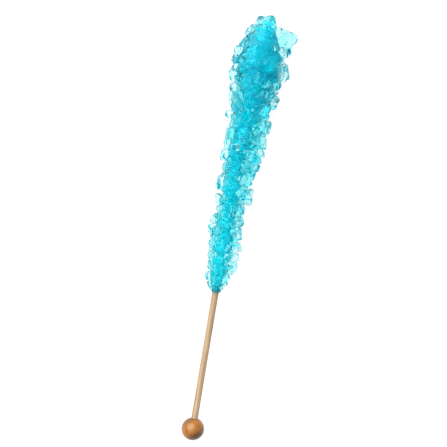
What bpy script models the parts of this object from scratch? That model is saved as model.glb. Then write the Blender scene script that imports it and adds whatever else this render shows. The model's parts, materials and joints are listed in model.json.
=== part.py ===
"""Rock candy stick: blue sugar crystals grown on a wooden swizzle stick that ends in a ball.

Metres, +Z up. It lies on a flat surface, the ball towards -Y and the head of the candy towards +Y,
with the origin under the middle of its bounding box. Every piece is modelled on the stick's own
axis (the ball's centre at 0, +Y along the stick) and then laid down as one.
"""

import math
import random

import bmesh
import bpy
import numpy as np
from mathutils import Matrix, Quaternion, Vector

MM = 0.001

# Driving dimensions. Distances along the stick are measured from the ball's centre.
TOTAL_LENGTH = 165.0 * MM
BALL_DIAMETER = 8.7 * MM
STICK_DIAMETER = 2.5 * MM
SWIZZLE_LENGTH = 152.4 * MM
CANDY_START = 52.5 * MM
BALL_HOLE_DEPTH = 3.4 * MM
FIT_GAP = 0.3 * MM
FLAT_DEPTH = 0.12 * MM

BALL_RADIUS = BALL_DIAMETER / 2
STICK_RADIUS = STICK_DIAMETER / 2
CANDY_TIP = TOTAL_LENGTH - BALL_RADIUS
STICK_TIP = SWIZZLE_LENGTH - BALL_RADIUS
STICK_FOOT = BALL_RADIUS - BALL_HOLE_DEPTH + FIT_GAP

# The candy's outline: (distance along the stick, reach of the crystal tips from the candy's middle).
CANDY_OUTLINE = (
    (CANDY_START, 2.2 * MM),
    (57.0 * MM, 4.4 * MM),
    (62.0 * MM, 5.6 * MM),
    (75.0 * MM, 6.5 * MM),
    (85.0 * MM, 6.2 * MM),
    (98.0 * MM, 6.9 * MM),
    (110.0 * MM, 8.3 * MM),
    (128.0 * MM, 9.4 * MM),
    (141.0 * MM, 11.2 * MM),
    (149.0 * MM, 9.6 * MM),
    (156.0 * MM, 6.4 * MM),
    (CANDY_TIP, 1.2 * MM),
)
# The candy grew a little off the stick's axis: the head leans towards +X.
LEAN_FROM = 60.0 * MM
LEAN_TO = 141.0 * MM
HEAD_LEAN = 2.1 * MM

# Crystals: mean edge near the neck and at the head, and how they vary from one to the next. Spacing
# and jitter are shares of the mean edge, and the shortest reach is a share of the outline's.
NECK_CRYSTAL = 2.5 * MM
HEAD_CRYSTAL = 4.7 * MM
SIZE_SPREAD = 0.24
SHORTEST_REACH = 0.87
CRYSTAL_SPACING = 0.9
PLACE_JITTER = 0.33
GOLDEN_ANGLE = math.pi * (3 - math.sqrt(5))
SEED = 21
# How far under the crystal tips the solid sugar lies, as a share of the mean edge, and its least
# wall round the stick.
CORE_DEPTH = 0.5
CORE_WALL = 0.9 * MM
CORE_STATIONS = 30
CORE_SIDES = 16

# Crystals that stand out: (habit, place across the stick, place along it, width, length, turn in degrees).
STANDOUT_CRYSTALS = (
    ("tablet", 2.2 * MM, 157.7 * MM, 8.4 * MM, 5.0 * MM, 18),
    ("block", -1.0 * MM, 153.9 * MM, 4.8 * MM, 5.4 * MM, -12),
    ("wedge", 10.6 * MM, 151.9 * MM, 7.4 * MM, 7.4 * MM, -35),
    ("block", -6.3 * MM, 141.8 * MM, 4.8 * MM, 6.2 * MM, 0),
    ("prism", -7.0 * MM, 136.4 * MM, 3.6 * MM, 6.9 * MM, 5),
    ("roof", 11.7 * MM, 140.2 * MM, 5.2 * MM, 5.6 * MM, 190),
    ("prism", -5.9 * MM, 127.6 * MM, 3.6 * MM, 5.4 * MM, 0),
    ("block", 9.1 * MM, 128.8 * MM, 4.2 * MM, 5.4 * MM, -20),
    ("wedge", 8.0 * MM, 112.3 * MM, 4.8 * MM, 6.2 * MM, 10),
    ("block", -5.0 * MM, 106.8 * MM, 5.4 * MM, 6.9 * MM, -8),
    ("prism", 6.7 * MM, 92.4 * MM, 3.4 * MM, 4.2 * MM, 0),
    ("block", -5.3 * MM, 76.6 * MM, 4.0 * MM, 4.2 * MM, 20),
    ("block", -3.2 * MM, 57.9 * MM, 3.2 * MM, 3.4 * MM, 30),
)

# The lying pose: the crystals under the widest place grew a little less, so that several touch.
REST_AT = 141.0 * MM
REST_SHARE = 0.85

STICK_SIDES = 20
BALL_SEGMENTS = 28
BALL_RINGS = 16
ROUND_ANGLE = math.radians(40)
WELD_DISTANCE = 0.001 * MM
BORE_RUN_OUT = 10.0 * MM


def smooth_step(low, high, value):
    """0 below low, 1 above high, and an even ease between them."""
    share = min(1.0, max(0.0, (value - low) / (high - low)))
    return share * share * (3 - 2 * share)


def tip_reach(along):
    """How far the crystal tips reach from the candy's middle at this distance along the stick."""
    places = [place for place, _ in CANDY_OUTLINE]
    reaches = [reach for _, reach in CANDY_OUTLINE]
    return float(np.interp(along, places, reaches))


def crystal_edge(along):
    """Mean edge length of the crystals at this distance along the stick."""
    return NECK_CRYSTAL + (HEAD_CRYSTAL - NECK_CRYSTAL) * smooth_step(CANDY_START, LEAN_TO, along)


def core_radius(along):
    """Radius of the solid sugar that the crystals stand on."""
    return max(tip_reach(along) - CORE_DEPTH * crystal_edge(along), STICK_RADIUS + CORE_WALL)


def candy_middle(along):
    """Point in the middle of the candy at this distance along the stick."""
    return Vector((HEAD_LEAN * smooth_step(LEAN_FROM, LEAN_TO, along), along, 0.0))


LYING_SLOPE = math.asin((REST_SHARE * tip_reach(REST_AT) - BALL_RADIUS) / REST_AT)
# The surface it lies on, seen from the stick: its upward direction. It touches the ball's underside.
UP = Vector((0.0, math.sin(LYING_SLOPE), math.cos(LYING_SLOPE)))


def new_object(name, mesh, collection):
    obj = bpy.data.objects.new(name, mesh)
    collection.objects.link(obj)
    return obj


def mesh_from(shape, name):
    """Turns a bmesh into a mesh with its normals facing out, and frees it."""
    bmesh.ops.recalc_face_normals(shape, faces=shape.faces)
    mesh = bpy.data.meshes.new(name)
    shape.to_mesh(mesh)
    shape.free()
    return mesh


def material(name, colour, roughness, transmission=0.0):
    made = bpy.data.materials.new(name)
    made.use_nodes = True
    shader = made.node_tree.nodes["Principled BSDF"]
    shader.inputs["Base Color"].default_value = (*colour, 1.0)
    shader.inputs["Roughness"].default_value = roughness
    shader.inputs["Metallic"].default_value = 0.0
    shader.inputs["Transmission Weight"].default_value = transmission
    made.diffuse_color = (*colour, 1.0)
    return made


def along_y(shape, start, end):
    """Turns a shape built along Z from -0.5 to 0.5 so that it runs along Y from start to end."""
    bmesh.ops.scale(shape, vec=(1.0, 1.0, end - start), verts=shape.verts)
    bmesh.ops.rotate(shape, matrix=Matrix.Rotation(-math.pi / 2, 3, "X"), verts=shape.verts)
    bmesh.ops.translate(shape, vec=(0.0, (start + end) / 2, 0.0), verts=shape.verts)


def rod_mesh(name, radius, start, end):
    """A round rod on the stick's axis."""
    shape = bmesh.new()
    bmesh.ops.create_cone(
        shape, cap_ends=True, segments=STICK_SIDES, radius1=radius, radius2=radius, depth=1.0
    )
    along_y(shape, start, end)
    return mesh_from(shape, name)


def cut(obj, cutter, name):
    """Subtracts the cutter from the object with a live modifier."""
    modifier = obj.modifiers.new(name, "BOOLEAN")
    modifier.operation = "DIFFERENCE"
    modifier.object = cutter


def as_helper(obj):
    obj.hide_render = True
    obj.display_type = "WIRE"
    return obj


# Crystals


def habit(name, proportions, slant, cuts):
    """An oblique block of sugar with some corners and edges grown away, about one unit across.

    Each cut is (direction, distance from the middle): the plane that closes the crystal there.
    """
    shape = bmesh.new()
    bmesh.ops.create_cube(shape, size=1.0)
    bmesh.ops.scale(shape, vec=proportions, verts=shape.verts)
    for vertex in shape.verts:
        vertex.co.x += slant * vertex.co.z
    for direction, distance in cuts:
        normal = Vector(direction).normalized()
        everything = shape.verts[:] + shape.edges[:] + shape.faces[:]
        sliced = bmesh.ops.bisect_plane(
            shape, geom=everything, plane_co=normal * distance, plane_no=normal, clear_outer=True
        )
        rim = [edge for edge in sliced["geom_cut"] if isinstance(edge, bmesh.types.BMEdge)]
        bmesh.ops.contextual_create(shape, geom=rim)
    return mesh_from(shape, name)


def crystal_habits():
    """The few shapes that all the crystals repeat."""
    return {
        "block": habit("block", (0.95, 0.9, 1.05), 0.12, (((1, 1, 1), 0.58), ((-1, 1, -1), 0.62))),
        "wedge": habit("wedge", (0.9, 0.8, 1.25), 0.2, (((1, 0, 1), 0.52), ((-1, 0, 2), 0.6))),
        "tablet": habit("tablet", (1.15, 0.62, 1.0), 0.16, (((1, 0, -1), 0.56), ((-1, 0, 1), 0.56))),
        "prism": habit("prism", (0.8, 0.8, 1.3), 0.1, (((1, 1, 0), 0.44), ((-1, -1, 0), 0.44))),
        "roof": habit("roof", (1.0, 0.85, 0.95), 0.18, (((0, 1, 1), 0.5), ((0, -1, 1), 0.5))),
    }


def random_turn(draw):
    """An even random rotation."""
    axis = Vector((draw.gauss(0, 1), draw.gauss(0, 1), draw.gauss(0, 1))).normalized()
    return Quaternion(axis, draw.uniform(0, 2 * math.pi))


def spread_crystals(draw, habits):
    """Yields each crystal's mesh, from the neck to the tip.

    They follow a golden-angle spiral round the candy, closer where they are smaller, with some
    jitter. The outermost corner of each one reaches about as far as the outline.
    """
    along = CANDY_START
    angle = 0.0
    while along < CANDY_TIP - HEAD_CRYSTAL / 4:
        edge = crystal_edge(along)
        radius = core_radius(along)
        along += min(CRYSTAL_SPACING * edge * edge / (2 * math.pi * radius), edge / 2)
        angle += GOLDEN_ANGLE
        around = angle + draw.uniform(-PLACE_JITTER, PLACE_JITTER) * edge / radius
        place = along + draw.uniform(-PLACE_JITTER, PLACE_JITTER) * edge
        size = edge * math.exp(draw.gauss(0.0, SIZE_SPREAD))
        slope = (tip_reach(place + MM) - tip_reach(place - MM)) / (2 * MM)
        sideways = Vector((math.cos(around), 0.0, math.sin(around)))
        outward = (sideways - Vector((0.0, slope, 0.0))).normalized()
        mesh = habits[draw.choice(sorted(habits))].copy()
        mesh.transform(Matrix.LocRotScale(None, random_turn(draw), Vector((size, size, size))))
        corner = max(vertex.co.dot(outward) for vertex in mesh.vertices)
        shortfall = (1 - draw.uniform(SHORTEST_REACH, 1.0)) * tip_reach(place)
        on_outline = candy_middle(place) + tip_reach(place) * sideways
        mesh.transform(Matrix.Translation(on_outline - (corner + shortfall) * outward))
        yield mesh


def standout_crystals(habits):
    """Yields the mesh of each crystal that stands out at the candy's sides and top."""
    for kind, across, along, width, length, turn in STANDOUT_CRYSTALS:
        mesh = habits[kind].copy()
        size = Vector((width, length, (width + length) / 2))
        for axis in range(3):
            places = [vertex.co[axis] for vertex in mesh.vertices]
            size[axis] /= max(places) - min(places)
        facing = Quaternion((0.0, 0.0, 1.0), math.radians(turn))
        mesh.transform(Matrix.LocRotScale(Vector((across, along, 0.0)), facing, size))
        yield mesh


def keep_inside(mesh):
    """Moves a crystal that reaches past the candy's ends or into the surface below back to where it ends."""
    past_tip = max(vertex.co.y for vertex in mesh.vertices) - CANDY_TIP
    short_of_start = CANDY_START - min(vertex.co.y for vertex in mesh.vertices)
    mesh.transform(Matrix.Translation((0.0, max(short_of_start, 0.0) - max(past_tip, 0.0), 0.0)))
    lowest = min(vertex.co.dot(UP) for vertex in mesh.vertices)
    mesh.transform(Matrix.Translation(max(-BALL_RADIUS - lowest, 0.0) * UP))


def crystals(collection):
    """Every crystal as its own closed object in the collection."""
    habits = crystal_habits()
    grown = [*standout_crystals(habits), *spread_crystals(random.Random(SEED), habits)]
    for number, mesh in enumerate(grown):
        keep_inside(mesh)
        as_helper(new_object(f"crystal_{number:03d}", mesh, collection))


# The candy


def core_mesh():
    """The solid sugar under the crystals: a tube along the candy's middle."""
    curve = bpy.data.curves.new("candy_core", "CURVE")
    curve.dimensions = "3D"
    curve.bevel_depth = 1.0
    curve.bevel_resolution = CORE_SIDES // 2 - 2
    curve.use_fill_caps = True
    spline = curve.splines.new("POLY")
    spline.points.add(CORE_STATIONS - 1)
    first = CANDY_START + FIT_GAP
    last = CANDY_TIP - HEAD_CRYSTAL / 2
    for number, point in enumerate(spline.points):
        along = first + (last - first) * number / (CORE_STATIONS - 1)
        point.co = (*candy_middle(along), 1.0)
        point.radius = core_radius(along)
    tube = bpy.data.objects.new("candy_core", curve)
    bpy.context.scene.collection.objects.link(tube)
    graph = bpy.context.evaluated_depsgraph_get()
    mesh = bpy.data.meshes.new_from_object(tube.evaluated_get(graph))
    bpy.data.objects.remove(tube)
    shape = bmesh.new()
    shape.from_mesh(mesh)
    bmesh.ops.remove_doubles(shape, verts=shape.verts, dist=WELD_DISTANCE)
    bpy.data.meshes.remove(mesh)
    return mesh_from(shape, "candy")


def keep_outer_skin(mesh):
    """Fills the hollows that the crystals shut in, and drops loose scraps, by keeping one shell."""
    shape = bmesh.new()
    shape.from_mesh(mesh)
    waiting = set(shape.verts)
    shells = []
    while waiting:
        edge_of_shell = [waiting.pop()]
        shell = set(edge_of_shell)
        while edge_of_shell:
            for link in edge_of_shell.pop().link_edges:
                for vertex in link.verts:
                    if vertex in waiting:
                        waiting.remove(vertex)
                        shell.add(vertex)
                        edge_of_shell.append(vertex)
        shells.append(shell)
    shells.sort(key=len)
    scraps = [vertex for shell in shells[:-1] for vertex in shell]
    bmesh.ops.delete(shape, geom=scraps, context="VERTS")
    shape.to_mesh(mesh)
    shape.free()


def candy(parts, cutters, fused):
    """Core and crystals fused into one solid, with the bore that the stick fills."""
    obj = new_object("candy", core_mesh(), parts)
    crystals(fused)
    union = obj.modifiers.new("fuse the crystals", "BOOLEAN")
    union.operation = "UNION"
    union.operand_type = "COLLECTION"
    union.collection = fused
    union.solver = "MANIFOLD"
    graph = bpy.context.evaluated_depsgraph_get()
    joined = bpy.data.meshes.new_from_object(obj.evaluated_get(graph))
    obj.modifiers.clear()
    obj.data = joined
    for crystal in list(fused.objects):
        bpy.data.objects.remove(crystal)
    bpy.data.collections.remove(fused)
    keep_outer_skin(obj.data)
    obj.data.materials.clear()
    obj.data.materials.append(material("blue_rock_sugar", (0.004, 0.50, 0.66), 0.12, 0.5))
    bore = rod_mesh(
        "candy_bore", STICK_RADIUS + FIT_GAP, CANDY_START - BORE_RUN_OUT, STICK_TIP + FIT_GAP
    )
    cut(obj, as_helper(new_object("candy_bore", bore, cutters)), "bore for the stick")
    return obj


def stick(parts):
    """The birch dowel, from its seat in the ball to its tip inside the candy."""
    obj = new_object("stick", rod_mesh("stick", STICK_RADIUS, STICK_FOOT, STICK_TIP), parts)
    obj.data.shade_smooth()
    obj.data.set_sharp_from_angle(angle=ROUND_ANGLE)
    obj.data.materials.append(material("birch_dowel", (0.68, 0.46, 0.26), 0.6))
    return obj


def ball(parts, cutters):
    """The turned ball, drilled for the stick."""
    shape = bmesh.new()
    bmesh.ops.create_uvsphere(
        shape, u_segments=BALL_SEGMENTS, v_segments=BALL_RINGS, radius=BALL_RADIUS
    )
    bmesh.ops.rotate(shape, matrix=Matrix.Rotation(-math.pi / 2, 3, "X"), verts=shape.verts)
    obj = new_object("ball", mesh_from(shape, "ball"), parts)
    obj.data.shade_smooth()
    obj.data.set_sharp_from_angle(angle=ROUND_ANGLE)
    obj.data.materials.append(material("stained_beech", (0.50, 0.22, 0.07), 0.4))
    hole = rod_mesh(
        "ball_hole", STICK_RADIUS + FIT_GAP, BALL_RADIUS - BALL_HOLE_DEPTH, 2 * BALL_RADIUS
    )
    cut(obj, as_helper(new_object("ball_hole", hole, cutters)), "hole for the stick")
    return obj


def lie_down(pieces, resting, cutters):
    """Lays the pieces on the surface, those that rest on it slightly flattened, and centres them."""
    pose = bpy.data.objects.new("lying", None)
    bpy.context.scene.collection.objects.link(pose)
    pose.rotation_euler = (LYING_SLOPE, 0.0, 0.0)
    pose.location = (0.0, 0.0, BALL_RADIUS - FLAT_DEPTH)
    for piece in [*pieces, *cutters.objects]:
        piece.parent = pose
    shape = bmesh.new()
    bmesh.ops.create_cube(shape, size=2 * TOTAL_LENGTH)
    bmesh.ops.translate(shape, vec=(0.0, 0.0, -TOTAL_LENGTH), verts=shape.verts)
    surface = as_helper(new_object("surface", mesh_from(shape, "surface"), cutters))
    for piece in resting:
        cut(piece, surface, "flat where it rests")
    low, high = corners(pieces)
    pose.location.x = -(low.x + high.x) / 2
    pose.location.y = -(low.y + high.y) / 2


def corners(pieces):
    """Lowest and highest corner of the finished pieces, in world space."""
    bpy.context.view_layer.update()
    graph = bpy.context.evaluated_depsgraph_get()
    points = []
    for piece in pieces:
        done = piece.evaluated_get(graph)
        points += [done.matrix_world @ vertex.co for vertex in done.data.vertices]
    low = Vector(min(point[axis] for point in points) for axis in range(3))
    high = Vector(max(point[axis] for point in points) for axis in range(3))
    return low, high


def main():
    for old in list(bpy.data.objects):
        bpy.data.objects.remove(old)
    parts = bpy.data.collections.new("rock_candy_stick")
    cutters = bpy.data.collections.new("cutters")
    fused = bpy.data.collections.new("crystals")
    for collection in (parts, cutters, fused):
        bpy.context.scene.collection.children.link(collection)
    sugar = candy(parts, cutters, fused)
    end_ball = ball(parts, cutters)
    lie_down([sugar, stick(parts), end_ball], [sugar, end_ball], cutters)
    bpy.context.view_layer.update()


main()
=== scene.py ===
"""Rock candy stick: clear blue sugar crystals grown on a birch swizzle stick with a turned ball end.

Everything is modelled on the stick's own axis, with the ball's centre at 0 and +Y along the stick,
and each finished piece is then laid down where the frame's ball and candy lie.
"""

import json
import math
import random

import bmesh
import bpy
from mathutils import Matrix, Quaternion, Vector

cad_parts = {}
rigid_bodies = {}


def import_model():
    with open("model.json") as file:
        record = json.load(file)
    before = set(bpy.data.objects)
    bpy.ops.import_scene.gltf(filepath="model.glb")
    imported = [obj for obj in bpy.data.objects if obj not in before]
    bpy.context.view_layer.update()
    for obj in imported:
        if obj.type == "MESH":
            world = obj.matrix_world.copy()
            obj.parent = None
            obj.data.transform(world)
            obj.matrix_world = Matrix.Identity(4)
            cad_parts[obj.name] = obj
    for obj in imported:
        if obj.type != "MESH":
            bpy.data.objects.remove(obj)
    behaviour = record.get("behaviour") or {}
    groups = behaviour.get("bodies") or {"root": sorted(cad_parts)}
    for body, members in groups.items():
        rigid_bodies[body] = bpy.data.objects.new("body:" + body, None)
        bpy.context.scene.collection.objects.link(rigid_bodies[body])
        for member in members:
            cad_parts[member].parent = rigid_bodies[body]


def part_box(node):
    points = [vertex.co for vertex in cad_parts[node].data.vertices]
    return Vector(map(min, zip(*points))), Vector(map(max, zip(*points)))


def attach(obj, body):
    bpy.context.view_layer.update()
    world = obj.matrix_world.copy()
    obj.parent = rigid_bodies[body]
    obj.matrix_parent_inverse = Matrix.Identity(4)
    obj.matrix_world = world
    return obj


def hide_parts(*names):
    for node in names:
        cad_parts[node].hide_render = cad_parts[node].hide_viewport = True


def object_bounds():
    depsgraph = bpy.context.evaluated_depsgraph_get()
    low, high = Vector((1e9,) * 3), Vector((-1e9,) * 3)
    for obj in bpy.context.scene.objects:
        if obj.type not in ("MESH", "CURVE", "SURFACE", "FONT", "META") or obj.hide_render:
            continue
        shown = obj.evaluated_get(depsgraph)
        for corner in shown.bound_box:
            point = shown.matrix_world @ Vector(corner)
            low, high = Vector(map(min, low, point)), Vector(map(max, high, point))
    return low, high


bl_info = {
    "name": "Rock Candy Stick",
    "version": (1, 0, 0),
    "blender": (4, 5, 0),
    "location": "3D View > Sidebar > Rock Candy",
    "description": "Models a stick of clear blue rock candy with a turned ball at its end",
    "category": "Add Mesh",
}

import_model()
CAD_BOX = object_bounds()

MM = 0.001

# Sizes read from the frame.
BALL_LOW, BALL_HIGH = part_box("ball")
STICK_LOW, STICK_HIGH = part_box("stick")
BALL_RADIUS = (BALL_HIGH.x - BALL_LOW.x) / 2
STICK_RADIUS = (STICK_HIGH.x - STICK_LOW.x) / 2
BALL_CENTRE = Vector(
    ((BALL_LOW.x + BALL_HIGH.x) / 2, BALL_LOW.y + BALL_RADIUS, BALL_HIGH.z - BALL_RADIUS)
)

# Distances along the stick, from the ball's centre.
TOTAL_LENGTH = 165.0 * MM
SWIZZLE_LENGTH = 152.4 * MM
CANDY_START = 52.5 * MM
CANDY_TIP = TOTAL_LENGTH - BALL_RADIUS
STICK_TIP = SWIZZLE_LENGTH - BALL_RADIUS
BALL_HOLE_DEPTH = 3.4 * MM

# The candy's outline: (distance along the stick, reach of the crystal tips from the candy's middle).
CANDY_OUTLINE = (
    (CANDY_START, 2.2 * MM),
    (57.0 * MM, 4.4 * MM),
    (62.0 * MM, 5.6 * MM),
    (75.0 * MM, 6.5 * MM),
    (85.0 * MM, 6.2 * MM),
    (98.0 * MM, 6.9 * MM),
    (110.0 * MM, 8.3 * MM),
    (128.0 * MM, 9.4 * MM),
    (141.0 * MM, 11.2 * MM),
    (149.0 * MM, 9.6 * MM),
    (156.0 * MM, 6.4 * MM),
    (CANDY_TIP, 1.2 * MM),
)

# Between these distances the candy's middle moves this far to the right of the stick's axis.
LEAN_FROM = 60.0 * MM
LEAN_TO = 141.0 * MM
HEAD_LEAN = 2.1 * MM

# Scattered crystals. Spacing is the room that each one has, as a share of its mean edge squared,
# jitter is a share of that edge, and reaches are shares of the outline's. The neck's small ones give
# way to larger ones by NECK_TO. From TIP_FROM they draw in, because large ones fill the tip, and none
# comes nearer to the tip than the margin.
NECK_TO = 61.0 * MM
SIZE_SPREAD = 0.25
LARGEST = 1.35
CRYSTAL_SPACING = 1.0
REACHES = (0.8, 1.05)
PLACE_JITTER = 0.33
TIP_FROM = 141.0 * MM
TIP_SHYNESS = 0.36
TIP_MARGIN = 0.2 * MM
SCATTER_TO = CANDY_TIP - 5.5 * MM
GOLDEN_ANGLE = math.pi * (3 - math.sqrt(5))
SEED = 21
FINE_SEED = 5
FINE_SPACING = 3.0

# The clear tube that they stand on lies under the outline by a share of a crystal's edge. Round the
# dowel it begins as a film, which stays bare at first, and its wall grows over the collar's length.
CORE_DEPTH = 0.5
FILM = 0.2 * MM
CORE_WALL = 0.9 * MM
COLLAR_START = CANDY_START + 0.9 * MM
COLLAR_LENGTH = 4.0 * MM
BARE_FILM = 0.7 * MM

# The dyed heart leans a little more than the crystals do, covers the dowel as far as that goes, and
# narrows under the tip. Its own crystals are a share of the clear ones.
HEART_SEED = 8
HEART_SPACING = 1.1
HEART_LEAN_FROM = 100.0 * MM
HEART_LEAN_TO = 148.0 * MM
HEART_LEAN = 3.4 * MM
HEART_SWELL_FROM = 124.0 * MM
HEART_COVERS_TO = STICK_TIP + 3 * MM
HEART_TIP = CANDY_TIP - 3.4 * MM
HEART_NARROWING = 0.5
HEART_REACHES = (0.85, 1.25)
HEART_CRYSTAL_SHARE = 0.6
HEART_TUBE_SHARE = 0.85
HEART_END_RADIUS = 0.5 * MM

# Crystals that stand out at the sides and the tip: (habit, place across, along and up from the
# stick's axis, width, length, turn in degrees).
STANDOUT_CRYSTALS = (
    ("block", 2.0 * MM, 156.7 * MM, 0.4 * MM, 8.8 * MM, 7.4 * MM, 22),
    ("wedge", 3.4 * MM, 156.0 * MM, 3.4 * MM, 6.0 * MM, 6.2 * MM, 30),
    ("roof", 1.0 * MM, 155.4 * MM, -3.2 * MM, 7.2 * MM, 6.4 * MM, 8),
    ("block", -2.2 * MM, 153.2 * MM, 0.8 * MM, 5.4 * MM, 5.6 * MM, -12),
    ("tablet", 7.8 * MM, 154.3 * MM, -0.4 * MM, 4.6 * MM, 4.8 * MM, -20),
    ("wedge", 10.8 * MM, 152.2 * MM, 0.0, 8.6 * MM, 7.6 * MM, -24),
    ("block", 10.6 * MM, 147.3 * MM, 0.6 * MM, 5.6 * MM, 5.4 * MM, 15),
    ("block", -6.2 * MM, 145.2 * MM, 0.6 * MM, 4.2 * MM, 4.4 * MM, -10),
    ("block", -6.3 * MM, 141.8 * MM, 0.0, 4.8 * MM, 6.2 * MM, 0),
    ("prism", -7.0 * MM, 136.4 * MM, 0.8 * MM, 3.6 * MM, 6.9 * MM, 5),
    ("roof", 11.5 * MM, 139.6 * MM, 0.0, 5.4 * MM, 7.0 * MM, 190),
    ("tablet", -5.9 * MM, 131.2 * MM, -0.8 * MM, 3.6 * MM, 4.4 * MM, 10),
    ("prism", -5.9 * MM, 127.6 * MM, 0.6 * MM, 3.6 * MM, 5.4 * MM, 0),
    ("block", 9.6 * MM, 128.2 * MM, 0.0, 4.8 * MM, 5.8 * MM, -20),
    ("wedge", -5.6 * MM, 121.2 * MM, 0.0, 3.8 * MM, 4.2 * MM, -15),
    ("block", 8.5 * MM, 118.4 * MM, 0.5 * MM, 4.6 * MM, 6.0 * MM, -8),
    ("wedge", 8.0 * MM, 112.8 * MM, -0.5 * MM, 4.8 * MM, 7.2 * MM, 10),
    ("roof", 8.1 * MM, 107.9 * MM, 0.0, 4.2 * MM, 4.0 * MM, 25),
    ("block", -4.8 * MM, 106.0 * MM, 0.0, 4.6 * MM, 6.4 * MM, -8),
    ("block", -4.8 * MM, 95.0 * MM, 0.4 * MM, 3.8 * MM, 6.6 * MM, 12),
    ("wedge", -4.7 * MM, 88.6 * MM, 0.0, 3.4 * MM, 5.2 * MM, 8),
    ("prism", 6.5 * MM, 91.2 * MM, 0.0, 3.8 * MM, 7.0 * MM, 0),
    ("tablet", -5.0 * MM, 81.0 * MM, -0.4 * MM, 3.2 * MM, 4.6 * MM, -10),
    ("block", -5.1 * MM, 77.2 * MM, 0.4 * MM, 3.8 * MM, 4.8 * MM, 20),
    ("wedge", 5.4 * MM, 71.5 * MM, 0.0, 3.6 * MM, 4.4 * MM, 5),
    ("roof", 5.2 * MM, 67.6 * MM, 0.2 * MM, 3.2 * MM, 3.8 * MM, 10),
    ("wedge", 4.8 * MM, 63.4 * MM, 0.3 * MM, 3.8 * MM, 5.4 * MM, -6),
    ("block", -3.5 * MM, 59.3 * MM, 0.0, 3.4 * MM, 4.0 * MM, 10),
)

# They are tipped by so many degrees, and keep a share of their size free of scattered crystals. Each
# is a main crystal with smaller ones grown into it, as shares of its width and length.
STANDOUT_TILT = 28.0
ROOM_SHARE = 0.6
MAIN_SHARE = 0.86
SATELLITES = 3
SATELLITE_SHARE = 0.52
SATELLITE_OFFSET = 0.25

# Crystal habits: (proportions, slant, cuts, terraces). Each cut is (direction, distance from the
# middle), and each terrace is the direction of a face with a plate grown on it.
HABITS = {
    "block": (
        (0.95, 0.9, 1.05),
        0.12,
        (((1, 1, 1), 0.58), ((-1, 1, -1), 0.62)),
        ((0, -1, 0), (1, 0, 0)),
    ),
    "wedge": (
        (0.9, 0.8, 1.25),
        0.2,
        (((1, 0, 1), 0.52), ((-1, 0, 2), 0.6)),
        ((0, 1, 0),),
    ),
    "tablet": (
        (1.15, 0.62, 1.0),
        0.16,
        (((1, 0, -1), 0.56), ((-1, 0, 1), 0.56)),
        ((0, 1, 0), (0, -1, 0)),
    ),
    "prism": (
        (0.8, 0.8, 1.3),
        0.1,
        (((1, 1, 0), 0.44), ((-1, -1, 0), 0.44)),
        ((-1, 0, 0),),
    ),
    "roof": (
        (1.0, 0.85, 0.95),
        0.18,
        (((0, 1, 1), 0.5), ((0, -1, 1), 0.5)),
        ((1, 0, 0), (-1, 0, 0)),
    ),
}
TERRACE_INSET = 0.09
TERRACE_RISE = 0.07
TERRACE_SHIFT = 0.04

# How the piece lies: on its ball and on the crystals under the widest place. No crystal reaches
# higher than the frame's candy by more than the allowance.
REST_AT = 141.0 * MM
REST_SHARE = 0.85
TOP_ALLOWANCE = 0.3 * MM
CANDY_TOP = CAD_BOX[1][2] - BALL_CENTRE.z + TOP_ALLOWANCE

# Clear sugar: the IOR of sucrose, the dye's density in a metre, and the size of the waves on its
# faces (1.4 mm).
SUGAR_IOR = 1.54
DYE_DENSITY = 400.0
FACE_WAVE = MM / 0.7

# Packed sugar: how far light spreads in it, with red, green and blue as shares of that, and the
# sizes of its clouds (2.9 mm), its crystals (1.8 mm) and the air between them (1.1 mm).
SCATTER_DISTANCE = 8.0 * MM
SCATTER_SHARES = (0.2, 1.0, 1.2)
CLOUD_SIZE = MM / 0.35
PACKED_CRYSTAL = MM / 0.55
AIR_SPECK = MM / 0.9

# From here to the head it is packed closer, until only this share of its pale pockets is left.
CLOSER_FROM = LEAN_TO - 25.0 * MM
CLOSER_PALENESS = 0.2

# Where the stained collar fades into the heart and the syrup's stain into the birch, from the
# collar's start, and how unevenly the syrup crept along the fibres.
COLLAR_FADE = (1.5 * MM, 4.5 * MM)
SOAK_FADE = (-0.6 * MM, 2.6 * MM)
SYRUP_CREEP = 3.0 * MM

# Birch: its fibres are far too fine to show, so they are drawn as streaks of this width and so many
# times as long. The shift chooses which streaks fall on the dowel.
FIBRE_WIDTH = 0.8 * MM
FIBRE_STRETCH = 40
FIBRE_SHIFT = 1.3 * MM

# Beech: its figure, the flecks of its rays, which fill half a cell of noise, and the lines that the
# lathe left, drawn further apart than real ones so that they show. A wave texture turns through this
# many radians in a unit.
FIGURE_WIDTH = 1.25 * MM
FIGURE_STRETCH = 4
FLECK_WIDTH = 0.3 * MM
FLECK_LENGTH = 1.5 * MM
FLECK_CELL = 2 * FLECK_WIDTH
WAVE_RADIANS = 20
TURNING_SPACING = 0.6 * MM
TURNING_SCALE = 2 * math.pi / (WAVE_RADIANS * TURNING_SPACING)

# The bead was turned from a blank whose grain runs askew to the dowel, its far end pointing away
# from the key light. The end grain at both ends is darkened: partly the stain that end grain takes
# deepest, partly painted shade on the ball's rim, deepest on the side away from the key light:
# (where that starts and is deepest, in radii along the grain, how deep).
BEAD_GRAIN_AND_SHADE_AXIS = Vector((0.62, -0.76, 0.1)).normalized()
END_GRAIN_STAIN_AND_SHADE = ((0.0, 0.95, 1.0), (-0.25, -1.0, 0.55))

# How finely the pieces are modelled, and the dowel's rounded ends. The ball's hole is a little
# wider than the dowel, its mouth stays a sharp edge, and its drill is turned so that the drill's
# corners miss the ball's meridians.
TUBE_SIDES = 32
TUBE_STATIONS = 44
STICK_SIDES = 48
STICK_CUTS = 60
STICK_END_ROUNDING = 0.15 * MM
BALL_SEGMENTS = 64
BALL_RINGS = 48
BALL_CREASE = math.radians(35)
HOLE_CLEARANCE = 0.05 * MM
DRILL_TURN = math.radians(1)

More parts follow.
